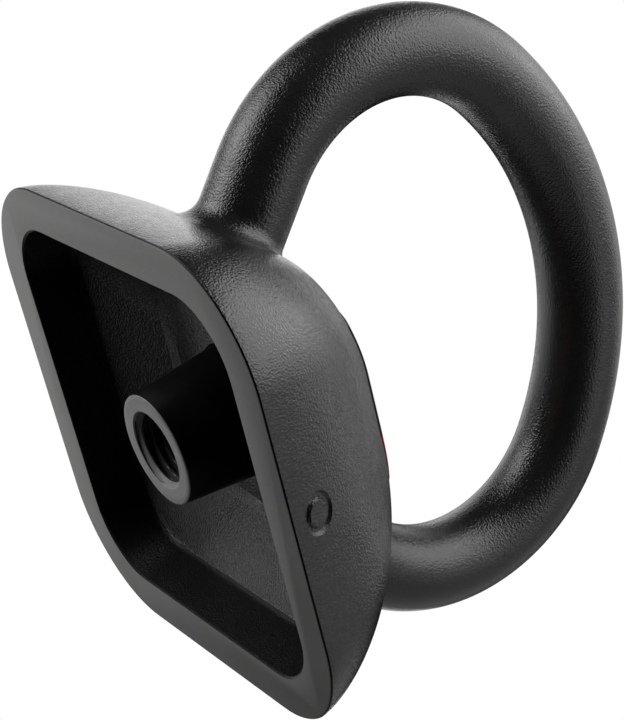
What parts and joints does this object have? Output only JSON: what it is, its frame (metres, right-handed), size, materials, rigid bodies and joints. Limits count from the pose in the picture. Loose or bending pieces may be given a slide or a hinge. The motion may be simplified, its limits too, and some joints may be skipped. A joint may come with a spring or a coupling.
{
  "type": "swivel hoist ring",
  "caption": "Oval lifting ring cast in one piece with a hollow square base; a threaded bush in the base turns on a roller bearing, so the ring swivels about the thread.",
  "frame": {"origin": "centre of the bush's seat face, on the thread axis", "axes": "+Z along the thread axis towards the ring; the ring lies in the XZ plane; -Y is the side with the label and the ring-shaped mark"},
  "size_m": [0.2394, 0.1798, 0.2096],
  "materials": {
    "black_coat": "textured black powder coat, satin",
    "turned_black": "fine turned, blackened",
    "black_oxide": "black oxide",
    "label": "printed film, black with a red end",
    "bearing_steel": "ground",
    "spring_steel": "phosphated",
    "plated_steel": "zinc plated",
    "bronze": "machined bronze",
    "cage_brass": "machined brass",
    "copper": "soft copper",
    "rubber": "moulded nitrile"
  },
  "bodies": {
    "bush": {"swivel_bush": "turned_black", "upper_race": "bearing_steel"},
    "ring_body": {"housing": "black_coat", "rating_label": "label", "bearing_nut": "black_oxide", "nut_lock_screws": "bearing_steel", "nut_seal": "rubber", "sleeve_bearing": "bronze", "flange_bearing": "bronze", "lower_race": "bearing_steel", "top_washer": "bronze", "disc_spring": "spring_steel", "seal_case": "plated_steel", "seal_lip": "rubber", "garter_spring": "spring_steel", "grease_nipple": "plated_steel", "nipple_washer": "copper"},
    "cage": {"roller_cage": "cage_brass", "inner_rollers": "bearing_steel", "outer_rollers": "bearing_steel"}
  },
  "joints": [
    {"name": "swivel", "type": "hinge", "parent": "bush", "child": "ring_body", "pos_m": [0, 0, 0.05], "axis": [0, 0, 1], "continuous": true},
    {"name": "cage_orbit", "type": "hinge", "parent": "bush", "child": "cage", "pos_m": [0, 0, 0.05], "axis": [0, 0, 1], "continuous": true}
  ],
  "couplings": [
    {"joint": "cage_orbit", "follows": "swivel", "ratio": 0.5}
  ]
}
